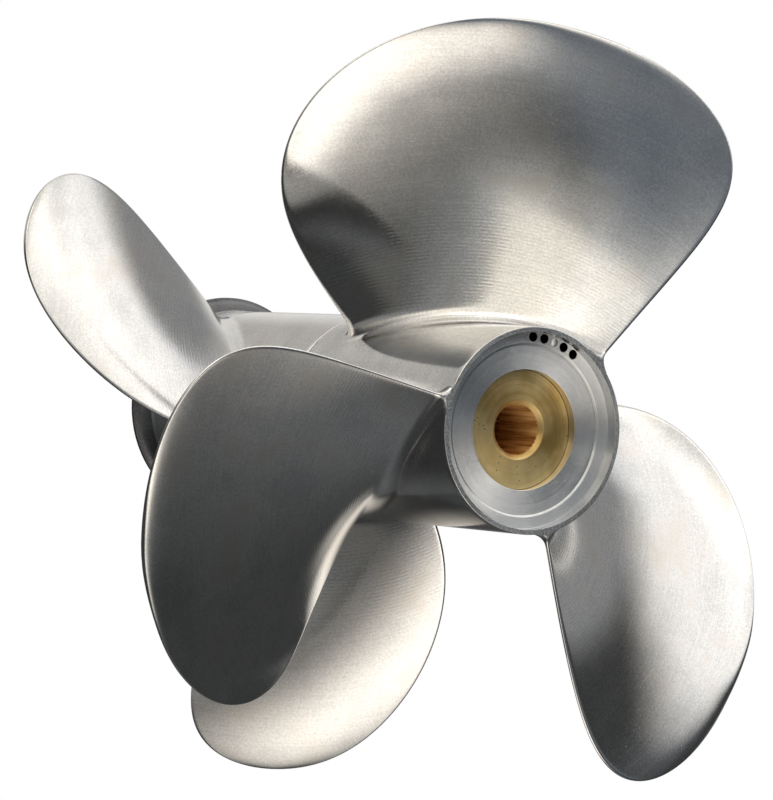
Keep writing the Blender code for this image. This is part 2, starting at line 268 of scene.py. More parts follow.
def round_edges(piece, width):
    """Break every sharp machined edge with a small round."""
    bevel = piece.modifiers.new("broken_edges", "BEVEL")
    bevel.width = width
    bevel.segments = ROUND_SEGMENTS
    bevel.limit_method = "ANGLE"
    bevel.angle_limit = CORNER_ANGLE
    bevel.use_clamp_overlap = True
    apply_all(piece)


# %% [markdown]
# ## Hubs
# Each hub is turned on a lathe after casting. The end that meets the gear case has a thin rim, a
# ledge, and a wide dished seat round the bush. It could be spun from a drawn profile; here a
# cylinder's end cap is extruded and scaled step by step, because that follows the order in which
# the tool would cut it.

# %% Sizes of a hub's machined end, as depths from its face
HUB_SIDES = 216
HUB_CHAMFER = 0.0003
RIM_INNER_RADIUS = 0.0523
LEDGE_DEPTH = 0.0075
LEDGE_INNER_RADIUS = 0.0460
SEAT_OUTER_RADIUS = 0.0450
SEAT_DEPTH = 0.0085
BORE_RADIUS = 0.0320
FORWARD_LENGTH = 0.1575
MACHINED_ROUND = 0.00012
CORNER_RING = 0.00025
RING_SPACING = 0.0045


def flat_step(outer, inner, y, margin):
    """Cuts of one flat face, with a ring beside each corner that keeps its shading flat."""
    return [(outer - margin, y), (inner + margin, y), (inner, y)]


def machined_cuts(face_y, inward):
    """Cuts of a hub's turned end, from the outer corner in to the bore."""
    corner = HUB_RADIUS - HUB_CHAMFER
    ledge_y = face_y + inward * LEDGE_DEPTH
    seat_y = face_y + inward * SEAT_DEPTH
    return [
        (corner, face_y),
        *flat_step(corner, RIM_INNER_RADIUS, face_y, CORNER_RING),
        (RIM_INNER_RADIUS, ledge_y),
        *flat_step(RIM_INNER_RADIUS, LEDGE_INNER_RADIUS, ledge_y, CORNER_RING),
        (SEAT_OUTER_RADIUS, seat_y),
        *flat_step(SEAT_OUTER_RADIUS, BORE_RADIUS, seat_y, CORNER_RING),
    ]


# %% Forward hub
BORE_MEETING = 0.0020
LONG_EDGE_SHARE = 0.9


def add_hub_blank(name, radius, low_y, high_y):
    """Plain round bar along the shaft axis, as the casting comes to the lathe."""
    bpy.ops.object.select_all(action="DESELECT")
    bpy.ops.mesh.primitive_cylinder_add(
        vertices=HUB_SIDES,
        radius=radius,
        depth=high_y - low_y,
        location=(0.0, (low_y + high_y) / 2, 0.0),
        rotation=(math.pi / 2, 0.0, 0.0),
    )
    bar = bpy.context.object
    bar.name = bar.data.name = name
    bpy.ops.object.transform_apply(location=True, rotation=True, scale=True)
    return bar


def left_inside(middle):
    """Rule for the two caps that are left facing each other halfway along a bore."""
    return lambda centre, normal: (
        abs(centre.y - middle) < 2 * BORE_MEETING and abs(normal.y) > SQUARE_ON
    )


def open_bore(piece):
    """Remove the two caps left inside the hub and bridge them into one bore."""
    bpy.ops.mesh.delete(type="ONLY_FACE")
    bpy.ops.mesh.select_mode(type="EDGE")
    bpy.ops.mesh.select_all(action="DESELECT")
    bpy.ops.mesh.select_non_manifold(extend=False)
    bpy.ops.mesh.bridge_edge_loops()
    bpy.ops.mesh.select_all(action="SELECT")
    bpy.ops.mesh.normals_make_consistent(inside=False)
    bpy.ops.object.mode_set(mode="OBJECT")


def add_rings(bar):
    """Divide the long edges of a blank, so that its skin is short faces from end to end."""
    take(bar)
    bpy.ops.object.mode_set(mode="EDIT")
    bpy.ops.mesh.select_mode(type="EDGE")
    bpy.ops.mesh.select_all(action="DESELECT")
    working = bmesh.from_edit_mesh(bar.data)
    longest = max(edge.calc_length() for edge in working.edges)
    for edge in working.edges:
        edge.select_set(edge.calc_length() > LONG_EDGE_SHARE * longest)
    bmesh.update_edit_mesh(bar.data)
    bpy.ops.mesh.subdivide(number_cuts=round(longest / RING_SPACING))
    bpy.ops.object.mode_set(mode="OBJECT")


forward_hub = add_hub_blank(
    "forward_propeller_casting", HUB_RADIUS, HUB_CHAMFER, FORWARD_LENGTH - HUB_CHAMFER
)
add_rings(forward_hub)
bpy.ops.object.mode_set(mode="EDIT")
pick_faces(forward_hub, lambda centre, normal: normal.y < -SQUARE_ON)
middle_y = FORWARD_LENGTH / 2
turn_cap(
    HUB_RADIUS, HUB_CHAMFER, machined_cuts(0.0, 1.0) + [(BORE_RADIUS, middle_y - BORE_MEETING)]
)
pick_faces(forward_hub, lambda centre, normal: normal.y > SQUARE_ON and centre.y > middle_y)
turn_cap(HUB_RADIUS, FORWARD_LENGTH - HUB_CHAMFER, [
    (HUB_RADIUS - HUB_CHAMFER, FORWARD_LENGTH),
    (BORE_RADIUS, FORWARD_LENGTH),
    (BORE_RADIUS, middle_y + BORE_MEETING),
])
pick_faces(forward_hub, left_inside(middle_y))
open_bore(forward_hub)
round_edges(forward_hub, MACHINED_ROUND)
report(forward_hub)

# %% [markdown]
# ## Balance holes
# A finished propeller is balanced by drilling metal out of the heavy side. This one has four
# drilled holes in a row on the ledge and a fifth that was filled and ground flat. The holes could
# be faked with dark discs, but they are cut for real so that light falls off inside them. Their
# walls are also painted near black, as painted shade.

# %% Balance holes
BALANCE_CIRCLE = 0.0494
BALANCE_HOLE_RADIUS = 0.0026
BALANCE_HOLE_DEPTH = 0.0080
BALANCE_HOLE_SIDES = 32
BALANCE_ANGLES_DEG = (84.0, 75.8, 60.6, 52.4)


def on_circle(radius, angle_deg, y):
    """Point at a radius and an angle about the shaft axis."""
    angle = math.radians(angle_deg)
    return Vector((radius * math.cos(angle), y, radius * math.sin(angle)))


def cut_with(piece, cutter, operation):
    """Join or cut a piece with another object, which is used up."""
    boolean = piece.modifiers.new(operation.lower(), "BOOLEAN")
    boolean.operation = operation
    boolean.solver = "EXACT"
    boolean.object = cutter
    apply_all(piece)
    bpy.data.objects.remove(cutter, do_unlink=True)


for angle_deg in BALANCE_ANGLES_DEG:
    bpy.ops.object.select_all(action="DESELECT")
    bpy.ops.mesh.primitive_cylinder_add(
        vertices=BALANCE_HOLE_SIDES,
        radius=BALANCE_HOLE_RADIUS,
        depth=2 * BALANCE_HOLE_DEPTH,
        location=on_circle(BALANCE_CIRCLE, angle_deg, LEDGE_DEPTH),
        rotation=(math.pi / 2, 0.0, 0.0),
    )
    cut_with(forward_hub, bpy.context.object, "DIFFERENCE")
report(forward_hub)

# %% [markdown]
# ## Blades
# A blade could be lofted from drawn curves. Here a flat grid is wrapped round the sections of the
# blade plan: one side of the grid runs round the section and the other from root to tip. The two
# end rows fold onto the blade's middle line, which closes root and tip, and the seam is merged.
# Near the hub each section swells into the fillet. The blade is then united with the hub, since
# the real thing is one casting.

# %% Wrap a grid into a blade
CHORD_STEPS = 56
FILLET_ROWS = 9
SPAN_ROWS = 84
LAST_SPAN = 0.9995
WELD = 0.000002


def wrapped_blade(name, plan):
    """Closed blade: a flat grid whose points move to the sections of a blade plan."""
    rows = plan.rows(FILLET_ROWS, SPAN_ROWS, LAST_SPAN)
    rows = [rows[0], *rows, rows[-1]]
    around = 2 * CHORD_STEPS
    bpy.ops.object.select_all(action="DESELECT")
    bpy.ops.mesh.primitive_grid_add(x_subdivisions=around, y_subdivisions=len(rows) - 1, size=1.0)
    blade = bpy.context.object
    blade.name = blade.data.name = name
    flat = np.empty(len(blade.data.vertices) * 3)
    blade.data.vertices.foreach_get("co", flat)
    flat = flat.reshape(-1, 3)
    column = np.rint((flat[:, 0] + 0.5) * around).astype(int) % around
    row = np.rint((flat[:, 1] + 0.5) * (len(rows) - 1)).astype(int)
    points = np.array([plan.section(*place, CHORD_STEPS) for place in rows])
    opposite = -np.arange(around) % around
    for end in (0, -1):
        points[end] = (points[end] + points[end][opposite]) / 2
    blade.data.vertices.foreach_set("co", points[row, column].ravel())
    close_blade(blade)
    return blade


def close_blade(blade):
    """Merge the seam and the folded ends, and point every face outwards."""
    take(blade)
    bpy.ops.object.mode_set(mode="EDIT")
    bpy.ops.mesh.select_mode(type="VERT")
    bpy.ops.mesh.select_all(action="SELECT")
    bpy.ops.mesh.remove_doubles(threshold=WELD)
    bpy.ops.mesh.normals_make_consistent(inside=False)
    bpy.ops.object.mode_set(mode="OBJECT")


# %% Forward blades
def no_taper(y):
    """Radius change along the forward hub, a plain cylinder."""
    return np.zeros_like(y)


forward_plan = BladePlan(
    tip_radius=0.2184,
    tip_y=0.0648,
    rake=(0.0, -0.0120),
    edges_deg=((39.7, 41.1, 43.4, 52.6, 78.1), (120.2, 122.5, 116.4, 101.0, 78.1)),
    hand=1.0,
    roll=0.0043,
    first_y=0.0,
    taper=no_taper,
)


def cast_blades(hub, plan):
    """Model one blade, copy it round the shaft, and unite every copy with the hub."""
    pattern = wrapped_blade(hub.name + "_blade", plan)
    for index in range(BLADE_COUNT):
        copy = pattern.copy()
        copy.data = pattern.data.copy()
        bpy.context.scene.collection.objects.link(copy)
        copy.rotation_euler = (0.0, -math.tau * index / BLADE_COUNT, 0.0)
        cut_with(hub, copy, "UNION")
    bpy.data.objects.remove(pattern, do_unlink=True)


cast_blades(forward_hub, forward_plan)
report(forward_hub)

# %% [markdown]
# ## Aft hub
# The aft hub narrows slightly towards its end and then flares into a ring, which keeps exhaust gas
# off the blades. It could be turned from one curve; here the blank's aft cap is scaled to the
# waist and then extruded along the steps of a quarter arc, so the flare stays exactly on size.

# %% Aft hub
AFT_FRONT = 0.1590
AFT_END = 0.3160
WAIST_RADIUS = 0.0520
WAIST_Y = 0.3020
FLARE_RADIUS = 0.0590
FLARE_LIP = 0.0020
FLARE_STEPS = 14

aft_hub = add_hub_blank("aft_propeller_casting", HUB_RADIUS, AFT_FRONT + HUB_CHAMFER, WAIST_Y)
bpy.ops.object.mode_set(mode="EDIT")
pick_faces(aft_hub, lambda centre, normal: normal.y > SQUARE_ON)
waist_ratio = WAIST_RADIUS / HUB_RADIUS
bpy.ops.transform.resize(
    value=(waist_ratio, 1.0, waist_ratio), center_override=(0.0, WAIST_Y, 0.0)
)
bpy.ops.object.mode_set(mode="OBJECT")
add_rings(aft_hub)
bpy.ops.object.mode_set(mode="EDIT")
pick_faces(aft_hub, lambda centre, normal: normal.y > SQUARE_ON)
flare_cuts = []
for step in range(1, FLARE_STEPS + 1):
    turn = math.pi / 2 * step / FLARE_STEPS
    flare_cuts.append((
        WAIST_RADIUS + (FLARE_RADIUS - WAIST_RADIUS) * (1.0 - math.cos(turn)),
        WAIST_Y + (AFT_END - FLARE_LIP - WAIST_Y) * math.sin(turn),
    ))
aft_middle = (AFT_FRONT + AFT_END) / 2
turn_cap(WAIST_RADIUS, WAIST_Y, (
    flare_cuts
    + [(FLARE_RADIUS, AFT_END)]
    + machined_cuts(AFT_END, -1.0)[1:]
    + [(BORE_RADIUS, aft_middle + BORE_MEETING)]
))
pick_faces(aft_hub, lambda centre, normal: normal.y < -SQUARE_ON and centre.y < aft_middle)
turn_cap(HUB_RADIUS, AFT_FRONT + HUB_CHAMFER, [
    (HUB_RADIUS - HUB_CHAMFER, AFT_FRONT),
    (BORE_RADIUS, AFT_FRONT),
    (BORE_RADIUS, aft_middle - BORE_MEETING),
])
pick_faces(aft_hub, left_inside(aft_middle))
open_bore(aft_hub)
round_edges(aft_hub, MACHINED_ROUND)


# %% Aft blades
def aft_taper(y):
    """Radius change along the aft hub, which narrows from its front end to its waist."""
    front = AFT_FRONT + HUB_CHAMFER
    share = np.clip((y - front) / (WAIST_Y - front), 0.0, 1.0)
    return (WAIST_RADIUS - HUB_RADIUS) * share


aft_plan = BladePlan(
    tip_radius=0.1975,
    tip_y=0.2382,
    rake=(-0.0195, 0.0270),
    edges_deg=((190.0, 181.3, 169.5, 158.6, 146.5), (117.0, 127.5, 130.1, 135.4, 146.5)),
    hand=-1.0,
    roll=0.0,
    first_y=AFT_FRONT + HUB_CHAMFER,
    taper=aft_taper,
)
cast_blades(aft_hub, aft_plan)
report(aft_hub)

# %% [markdown]
# ## Brass bushes
# A splined brass bush carries each propeller on its shaft. Its mouth is chamfered to guide the
# shaft in, the splines run for about 40 mm, and the bore behind them is plain. The splines could
# be painted on, but the light that rakes along them is what makes the bore look broached.

# %% Sizes of the bushes
BUSH_RADIUS = 0.0317
BUSH_FACE_DEPTH = 0.0140
BORE_CHAMFER = 0.0025
SPLINE_TEETH = 36
SPLINE_LENGTH = 0.0390
SPLINE_LAND = 0.0002
FORWARD_SPLINES = (0.0134, 0.0137)
AFT_SPLINES = (0.0102, 0.0105)
BUSH_CLEARANCE = 0.0006
PLAIN_BORE_EXTRA = 0.0012
BUSH_ROUND = 0.00022
SIDES_PER_TOOTH = HUB_SIDES // SPLINE_TEETH


# %% Splined bush
def broach(minor_radius, major_radius, start_y, end_y):
    """Toothed bar: a round bar with every other strip of its side pushed out to the teeth."""
    bar = add_hub_blank(
        "broach", minor_radius - SPLINE_LAND, min(start_y, end_y), max(start_y, end_y)
    )
    bar_ratio = major_radius / (minor_radius - SPLINE_LAND)
    bpy.ops.object.mode_set(mode="EDIT")
    bpy.ops.mesh.select_mode(type="VERT")
    bpy.ops.mesh.select_all(action="DESELECT")
    working = bmesh.from_edit_mesh(bar.data)
    for vertex in working.verts:
        side = round(math.atan2(vertex.co.z, vertex.co.x) / math.tau * HUB_SIDES)
        vertex.select_set(side % SIDES_PER_TOOTH >= SIDES_PER_TOOTH // 2)
    bmesh.update_edit_mesh(bar.data)
    bpy.ops.transform.resize(value=(bar_ratio, 1.0, bar_ratio), center_override=(0.0, 0.0, 0.0))
    bpy.ops.object.mode_set(mode="OBJECT")
    return bar


def splined_bush(name, mouth_y, inner_y, minor_radius, major_radius):
    """Turn a bush, chamfer its mouth and cut its splines."""
    inward = math.copysign(1.0, inner_y - mouth_y)
    middle = (mouth_y + inner_y) / 2
    plain = major_radius + PLAIN_BORE_EXTRA
    bush = add_hub_blank(name, BUSH_RADIUS, min(mouth_y, inner_y), max(mouth_y, inner_y))
    bpy.ops.object.mode_set(mode="EDIT")
    pick_faces(bush, lambda centre, normal: normal.y * inward < -SQUARE_ON)
    turn_cap(BUSH_RADIUS, mouth_y, [
        *flat_step(BUSH_RADIUS, minor_radius + BORE_CHAMFER, mouth_y, 2 * BUSH_ROUND),
        (minor_radius, mouth_y + inward * BORE_CHAMFER),
        (minor_radius, mouth_y + inward * SPLINE_LENGTH),
        (plain, mouth_y + inward * SPLINE_LENGTH),
        (plain, middle - inward * BORE_MEETING),
    ])
    pick_faces(bush, lambda centre, normal: (
        normal.y * inward > SQUARE_ON and abs(centre.y - inner_y) < BORE_MEETING
    ))
    turn_cap(BUSH_RADIUS, inner_y, [
        (plain, inner_y),
        (plain, middle + inward * BORE_MEETING),
    ])
    pick_faces(bush, left_inside(middle))
    open_bore(bush)
    round_edges(bush, BUSH_ROUND)
    teeth = broach(
        minor_radius,
        major_radius,
        mouth_y - inward * BORE_CHAMFER,
        mouth_y + inward * (SPLINE_LENGTH + BORE_CHAMFER),
    )
    cut_with(bush, teeth, "DIFFERENCE")
    report(bush)
    return bush


forward_bush = splined_bush(
    "forward_splined_bush", BUSH_FACE_DEPTH, FORWARD_LENGTH + BUSH_CLEARANCE, *FORWARD_SPLINES
)
aft_bush = splined_bush(
    "aft_splined_bush", AFT_END - BUSH_FACE_DEPTH, AFT_FRONT - BUSH_CLEARANCE, *AFT_SPLINES
)

# %% [markdown]
# ## Filled balance hole
# Between the drilled holes one was plugged again and ground nearly flush. It shows as a small
# bright boss. A whole sphere would do, but half of it would be buried, so it is bisected first.

# %% Filled balance hole
PLUG_RADIUS = 0.0023
PLUG_RISE = 0.0007
PLUG_ANGLE_DEG = 68.2
PLUG_SEGMENTS = 32
PLUG_RINGS = 16

plug_place = on_circle(BALANCE_CIRCLE, PLUG_ANGLE_DEG, LEDGE_DEPTH)
bpy.ops.object.select_all(action="DESELECT")
bpy.ops.mesh.primitive_uv_sphere_add(
    segments=PLUG_SEGMENTS,
    ring_count=PLUG_RINGS,
    radius=PLUG_RADIUS,
    location=plug_place,
    rotation=(math.pi / 2, 0.0, 0.0),
    scale=(1.0, 1.0, PLUG_RISE / PLUG_RADIUS),
)
plug = bpy.context.object
plug.name = plug.data.name = "filled_balance_hole"
bpy.ops.object.transform_apply(location=True, rotation=True, scale=True)
bpy.ops.object.mode_set(mode="EDIT")
bpy.ops.mesh.select_all(action="SELECT")
bpy.ops.mesh.bisect(
    plane_co=plug_place, plane_no=(0.0, 1.0, 0.0), use_fill=True, clear_outer=True
)
bpy.ops.mesh.select_all(action="SELECT")
bpy.ops.mesh.normals_make_consistent(inside=False)
bpy.ops.object.mode_set(mode="OBJECT")
report(plug)

# %% [markdown]
# ## Smooth shading
# Polished castings have no facets, but their machined corners must stay crisp. Shading by angle
# does both at once, so no custom normals are needed.

# %% Smooth shading
SMOOTH_ANGLE = math.radians(42.0)

pieces = [forward_hub, aft_hub, forward_bush, aft_bush, plug]
for piece in pieces:
    take(piece)
    bpy.ops.object.shade_smooth_by_angle(angle=SMOOTH_ANGLE)
print("smooth:", [piece.name for piece in pieces])

# %% [markdown]
# ## Studio
# The photograph shows polished metal, and polished metal shows only the room round it. The room
# here is a world of soft boxes: a dim surround, with pale panels where the blades reflect them.
# Lamps could do the same, but a world lights every view and adds no noise. Each panel is added to
# the light so far, as in a real studio. Camera rays see plain white, as in the photograph.

# %% Soft boxes in the world
world = bpy.data.worlds.new("studio")
bpy.context.scene.world = world
world.use_nodes = True
room = world.node_tree
room.nodes.clear()
direction = room.nodes.new("ShaderNodeTexCoord").outputs["Generated"]


def add_node(tree, kind, inputs, **settings):
    """Add a shader node, set its options, and fill its inputs with numbers or links."""
    node = tree.nodes.new("ShaderNode" + kind)
    for name, value in settings.items():
        setattr(node, name, value)
    for name, value in inputs.items():
        if isinstance(value, bpy.types.NodeSocket):
            tree.links.new(value, node.inputs[name])
        else:
            node.inputs[name].default_value = value
    return node


def math_node(tree, operation, first, second=0.0):
    """One Math node, fed by sockets or numbers."""
    return add_node(tree, "Math", {0: first, 1: second}, operation=operation).outputs[0]


def ramp(tree, value, low, high, start=0.0, end=1.0):
    """Smooth change from one number to another as a value passes from low to high."""
    node = add_node(tree, "MapRange", {
        "Value": value, "From Min": low, "From Max": high, "To Min": start, "To Max": end,
    }, interpolation_type="SMOOTHSTEP")
    return node.outputs["Result"]


def along(axis):
    """How far a direction leans towards an axis, from -1 to 1."""
    node = add_node(room, "VectorMath", {0: direction, 1: axis}, operation="DOT_PRODUCT")
    return node.outputs["Value"]


def soft_box(light, place, size, soft, turn, colour):
    """Add a soft-edged panel to the light: its azimuth and elevation, size and turn in degrees."""
    azimuth, elevation = (math.radians(angle) for angle in place)
    centre = Vector((
        math.sin(azimuth) * math.cos(elevation),
        -math.cos(azimuth) * math.cos(elevation),
        math.sin(elevation),
    ))
    level = Vector((math.cos(azimuth), math.sin(azimuth), 0.0))
    upright = centre.cross(level)
    side = level * math.cos(math.radians(turn)) + upright * math.sin(math.radians(turn))
    mask = math_node(room, "GREATER_THAN", along(centre))
    for axis, width in ((side, size[0]), (centre.cross(side), size[1])):
        full_until = math.sin(math.radians(max(0.0, width / 2 - soft)))
        none_after = math.sin(math.radians(min(90.0, width / 2 + soft)))
        lean = math_node(room, "ABSOLUTE", along(axis))
        fade = ramp(room, lean, full_until, none_after, 1.0, 0.0)
        mask = math_node(room, "MULTIPLY", mask, fade)
    panel = add_node(room, "Mix", {0: mask, 6: light, 7: (*colour, 1.0)},
                     data_type="RGBA", blend_type="ADD", clamp_factor=True)
    return panel.outputs[2]


# %% Light the room
SURROUND = (0.052, 0.054, 0.054, 1.0)
# Each panel: azimuth and elevation, width and height, softness and turn in degrees, and colour
PANELS = (
    # Key panel on the port side, and a warmer one within it
    ((-70, 37), (74, 43), 13, -1, (0.80, 0.76, 0.68)),
    ((-65, 42), (59, 47), 3, -10, (0.42, 0.38, 0.31)),
    # Two high panels to starboard, and one overhead for the bright line along every upper edge
    ((20, 49), (43, 31), 12, 3, (0.97, 0.92, 0.83)),
    ((61, 32), (40, 35), 7, 25, (1.20, 1.15, 1.08)),
    ((-6, 82), (66, 47), 13, 0, (0.98, 0.94, 0.87)),
    # Low panel in front, under the camera
    ((-9, -34), (35, 45), 23, 19, (1.94, 1.82, 1.64)),
    # Grey fills to starboard, ahead and low to port
    ((124, 21), (61, 59), 5, 0, (0.255, 0.258, 0.258)),
    ((24, 34), (90, 66), 4, 0, (0.125, 0.143, 0.168)),
    ((-72, -4), (60, 50), 5, -21, (0.091, 0.090, 0.084)),
    ((-79, 1), (104, 11), 14, 9, (0.145, 0.150, 0.152)),
    ((94, -64), (111, 14), 30, 0, (0.088, 0.091, 0.094)),
    # Thin strip low to starboard, and panels behind the propellers
    ((128, -19), (20, 8), 4, 53, (0.46, 0.43, 0.38)),
    ((163, 46), (76, 71), 5, 15, (0.52, 0.50, 0.47)),
    ((-138, 62), (52, 36), 10, 0, (0.85, 0.84, 0.82)),
)

light = add_node(room, "RGB", {}).outputs[0]
light.default_value = SURROUND
for panel in PANELS:
    light = soft_box(light, *panel)
shaped = add_node(room, "Background", {"Color": light})
plain = add_node(room, "Background", {"Color": (1.0, 1.0, 1.0, 1.0)})
sees_camera = add_node(room, "LightPath", {}).outputs["Is Camera Ray"]
chooser = add_node(room, "MixShader", {0: sees_camera, 1: shaped.outputs[0], 2: plain.outputs[0]})
add_node(room, "OutputWorld", {"Surface": chooser.outputs[0]})
bpy.context.scene.view_settings.view_transform = "Standard"
print("room nodes:", len(room.nodes))

# %% [markdown]
# ## Floor
# The floor is a wide pale disc well below the propellers, so that it catches no hard shadow. The
# photograph's metal reflects a dark studio below it, so glossy rays don't see this floor.

# %% Floor
FLOOR_RADIUS = 4.0
FLOOR_CENTRE = (0.0, 0.15, -0.60)
FLOOR_SIDES = 128
FLOOR_PAINT = {
    "Base Color": (0.93, 0.93, 0.93, 1.0),
    "Roughness": 0.9,
    "Emission Color": (1.0, 1.0, 1.0, 1.0),
    "Emission Strength": 0.45,
}

bpy.ops.object.select_all(action="DESELECT")
bpy.ops.mesh.primitive_circle_add(
    vertices=FLOOR_SIDES, radius=FLOOR_RADIUS, fill_type="NGON", location=FLOOR_CENTRE
)
floor = bpy.context.object
floor.name = floor.data.name = "studio_floor"
floor.visible_glossy = False
floor_paint = bpy.data.materials.new("pale_floor")
floor_paint.use_nodes = True
floor_shader = floor_paint.node_tree.nodes["Principled BSDF"]
for socket, value in FLOOR_PAINT.items():
    floor_shader.inputs[socket].default_value = value
floor.data.materials.append(floor_paint)
print("floor at", FLOOR_CENTRE)

# %% [markdown]
# ## Finish of the metal
# Every surface here is bare metal, so colour says little and the small marks say much: strokes of
# the polishing belt, arcs left by the cutter that milled the blades, a fine grain, pits in the
# casting. Images could carry them, but patterns worked out from the object's own coordinates stay
# sharp at any distance and need no unwrapping. Each kind of mark is a node group, placed in each
# material with its own values.

# %% Helpers for node groups and materials
ACROSS_SHAFT = (1.0, 0.0, 1.0)


def start_group(name, sockets_in, sockets_out):
    """Begin a shader node group with a Place input, number inputs and number outputs."""
    group = bpy.data.node_groups.new(name, "ShaderNodeTree")
    group.interface.new_socket(name="Place", in_out="INPUT", socket_type="NodeSocketVector")
    for label, value in sockets_in.items():
        socket = group.interface.new_socket(
            name=label, in_out="INPUT", socket_type="NodeSocketFloat"
        )
        socket.default_value = value
    for label in sockets_out:
        group.interface.new_socket(name=label, in_out="OUTPUT", socket_type="NodeSocketFloat")
    return group, group.nodes.new("NodeGroupInput").outputs, group.nodes.new("NodeGroupOutput")


def shaft_radius(tree, place):
    """Distance of a place from the shaft axis."""
    flat = add_node(tree, "VectorMath", {0: place, 1: ACROSS_SHAFT}, operation="MULTIPLY")
    length = add_node(tree, "VectorMath", {0: flat.outputs[0]}, operation="LENGTH")
    return length.outputs["Value"]


def noise(tree, vector, scale, detail=2.0, roughness=0.5):
    """Cloudy noise from 0 to 1 over a vector."""
    node = add_node(tree, "TexNoise", {
        "Vector": vector, "Scale": scale, "Detail": detail, "Roughness": roughness,
    })
    return node.outputs["Fac"]


# %% Polishing strokes: fine lines that run round the shaft
strokes, s_in, s_out = start_group(
    "polishing_strokes", {"Across": 1500.0, "Along": 45.0}, ["Stroke"]
)
radius_out = math_node(strokes, "MULTIPLY", shaft_radius(strokes, s_in["Place"]), s_in["Across"])
sideways = add_node(strokes, "CombineXYZ", {"X": radius_out}).outputs[0]
stretch = {0: s_in["Place"], "Scale": s_in["Along"]}
lengthwise = add_node(strokes, "VectorMath", stretch, operation="SCALE").outputs["Vector"]
stroke_place = add_node(strokes, "VectorMath", {0: sideways, 1: lengthwise}, operation="ADD")
strokes.links.new(noise(strokes, stroke_place.outputs[0], 1.0, 2.0, 0.6), s_out.inputs["Stroke"])

# %% Cutter arcs: ridges at a fixed pitch round the shaft, uneven in strength
arcs, a_in, a_out = start_group("cutter_arcs", {"Pitch": 0.0019, "Wander": 0.0006}, ["Ridge"])
WANDER_SCALE = 24.0
PATCH_SCALE = 260.0
PATCH_RANGE = (0.35, 0.65)
wandering = noise(arcs, a_in["Place"], WANDER_SCALE, 0.0)
wander = math_node(arcs, "MULTIPLY", wandering, a_in["Wander"])
turns = math_node(
    arcs, "DIVIDE", math_node(arcs, "ADD", shaft_radius(arcs, a_in["Place"]), wander), a_in["Pitch"]
)
wave = math_node(arcs, "SINE", math_node(arcs, "MULTIPLY", turns, math.tau))
patchy = ramp(arcs, noise(arcs, a_in["Place"], PATCH_SCALE, 1.0), *PATCH_RANGE)
arcs.links.new(math_node(arcs, "MULTIPLY", wave, patchy), a_out.inputs["Ridge"])

# %% Grain, clouds and pits of the metal
CLOUD_SCALE = 30.0
PIT_RADII = (0.10, 0.22)
PIT_PATCH_SCALE = 120.0
PIT_PATCH_FULL = 0.75
grain, g_in, g_out = start_group(
    "metal_grain",
    {"Grain Scale": 850.0, "Pit Scale": 420.0, "Pit Rarity": 0.60},
    ["Grain", "Cloud", "Pit"],
)
grain.links.new(noise(grain, g_in["Place"], g_in["Grain Scale"], 2.0, 0.65), g_out.inputs["Grain"])
grain.links.new(noise(grain, g_in["Place"], CLOUD_SCALE, 3.0, 0.6), g_out.inputs["Cloud"])
cells = add_node(grain, "TexVoronoi", {"Vector": g_in["Place"], "Scale": g_in["Pit Scale"]})
near_pit = ramp(grain, cells.outputs["Distance"], *PIT_RADII, 1.0, 0.0)
pit_patches = noise(grain, g_in["Place"], PIT_PATCH_SCALE, 0.0)
rare = ramp(grain, pit_patches, g_in["Pit Rarity"], PIT_PATCH_FULL)
grain.links.new(math_node(grain, "MULTIPLY", near_pit, rare), g_out.inputs["Pit"])
print("groups:", [group.name for group in bpy.data.node_groups])


# %% Metal: a material with the sockets that every finish here shares
TONE_RANGE = (0.35, 0.65)


